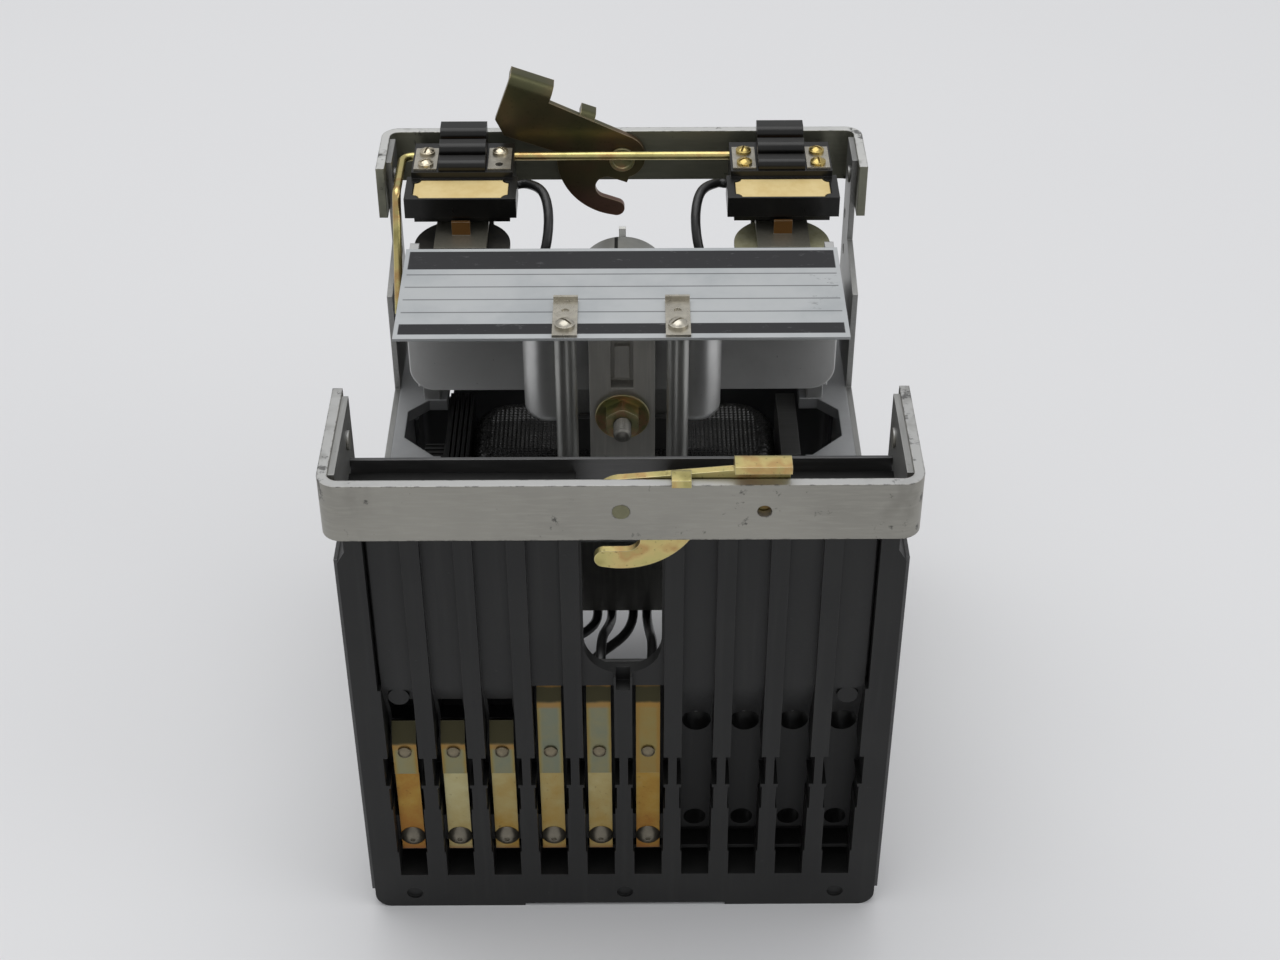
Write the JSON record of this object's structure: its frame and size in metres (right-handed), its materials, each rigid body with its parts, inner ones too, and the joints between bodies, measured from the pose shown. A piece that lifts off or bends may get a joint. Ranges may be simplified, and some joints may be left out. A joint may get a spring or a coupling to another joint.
{
  "type": "protection relay",
  "caption": "Draw-out induction-disc overcurrent relay on its back: U-strapped cradle with hooked latches, finger contact block, cast frame, time dial and flag units.",
  "frame": {"origin": "bottom centre of the overall box, on the surface the relay lies on", "axes": "X across the relay, Y from the contact block towards the relay's top end, Z from its back to its front, in metres"},
  "size_m": [0.1388, 0.1738, 0.1744],
  "materials": {
    "black_moulding": "moulded, satin",
    "plated_leaf": "plated leaf, tarnished",
    "silver": "worn silver",
    "dull_steel": "dull",
    "sheet_steel": "plated sheet",
    "strap_metal": "satin, worn edges",
    "chromate": "yellow chromate",
    "cast_grey": "grey casting",
    "smooth_grey": "grey, smooth",
    "name_sheet": "etched sheet with dark bands",
    "nickel": "nickel plated",
    "disc_metal": "turned",
    "brass": "plain",
    "white_paint": "white",
    "magnet": "dark",
    "tape": "varnished woven tape",
    "card": "cream card",
    "washer_dark": "dark fibre",
    "washer_cream": "cream fibre",
    "flag_orange": "orange-brown",
    "lead_black": "black insulation"
  },
  "bodies": {
    "cradle": {"contact_block": "black_moulding", "short_fingers": "plated_leaf", "long_fingers": "plated_leaf", "finger_tips": "plated_leaf", "finger_buttons": "silver", "finger_rivets": "dull_steel", "block_bracket": "sheet_steel", "left_side_plate": "sheet_steel", "right_side_plate": "sheet_steel", "near_strap": "strap_metal", "far_strap": "strap_metal", "strap_rivets": "dull_steel", "near_pivot": "dull_steel", "far_pivot": "dull_steel", "cast_frame": "cast_grey", "housing": "smooth_grey", "nameplate": "name_sheet", "nameplate_posts": "strap_metal", "nameplate_clips": "nickel", "clip_screws": "nickel", "bearing_bracket": "sheet_steel", "bearing_screw": "dull_steel", "cup_washer": "chromate", "lock_nut": "chromate", "upper_bearing": "brass", "dial_pointer": "white_paint", "fixed_contact": "brass", "drag_magnet": "magnet", "core": "magnet", "main_coil": "tape", "core_strap": "dull_steel", "coil_terminal": "black_moulding", "seal_in_head": "black_moulding", "seal_in_label": "card", "seal_in_terminals": "nickel", "seal_in_bobbin": "washer_dark", "seal_in_winding": "tape", "seal_in_frame": "sheet_steel", "instant_head": "black_moulding", "instant_label": "card", "instant_terminals": "nickel", "instant_bobbin": "washer_cream", "instant_winding": "tape", "instant_frame": "sheet_steel", "target_screws": "nickel", "block_leads": "lead_black", "target_leads": "lead_black"},
    "near_latch": {"near_latch": "chromate"},
    "far_latch": {"far_latch": "chromate"},
    "rotor": {"rotor_shaft": "dull_steel", "induction_disc": "disc_metal", "disc_hub": "brass", "moving_contact": "brass"},
    "time_dial": {"time_dial": "disc_metal", "spiral_spring": "brass"},
    "reset_rod": {"reset_rod": "chromate"},
    "seal_in_armature": {"seal_in_armature": "sheet_steel"},
    "instant_armature": {"instant_armature": "sheet_steel"},
    "seal_in_flag": {"seal_in_flag": "flag_orange"},
    "instant_flag": {"instant_flag": "flag_orange"}
  },
  "joints": [
    {"name": "near_latch_turn", "type": "hinge", "parent": "cradle", "child": "near_latch", "pos_m": [0, -0.0814, 0.148], "axis": [0, -1, 0], "range_deg": [0, 60]},
    {"name": "far_latch_turn", "type": "hinge", "parent": "cradle", "child": "far_latch", "pos_m": [0, 0.0814, 0.148], "axis": [0, 1, 0], "range_deg": [-20, 40]},
    {"name": "rotor_turn", "type": "hinge", "parent": "cradle", "child": "rotor", "pos_m": [0, 0.0255, 0.118], "axis": [0, 1, 0], "range_deg": [0, 45]},
    {"name": "time_dial_turn", "type": "hinge", "parent": "cradle", "child": "time_dial", "pos_m": [0, 0.0605, 0.118], "axis": [0, -1, 0], "range_deg": [0, 270]},
    {"name": "reset_rod_turn", "type": "hinge", "parent": "cradle", "child": "reset_rod", "pos_m": [0, 0.0742, 0.1523], "axis": [1, 0, 0], "range_deg": [-8, 8]},
    {"name": "seal_in_armature_turn", "type": "hinge", "parent": "cradle", "child": "seal_in_armature", "pos_m": [-0.0451, 0.0618, 0.1403], "axis": [1, 0, 0], "range_deg": [0, 3.5]},
    {"name": "instant_armature_turn", "type": "hinge", "parent": "cradle", "child": "instant_armature", "pos_m": [0.0451, 0.0618, 0.1403], "axis": [1, 0, 0], "range_deg": [0, 3.5]},
    {"name": "seal_in_flag_rise", "type": "slide", "parent": "cradle", "child": "seal_in_flag", "axis": [0, 0, 1], "range_m": [0, 0.0025]},
    {"name": "instant_flag_rise", "type": "slide", "parent": "cradle", "child": "instant_flag", "axis": [0, 0, 1], "range_m": [0, 0.0025]}
  ]
}
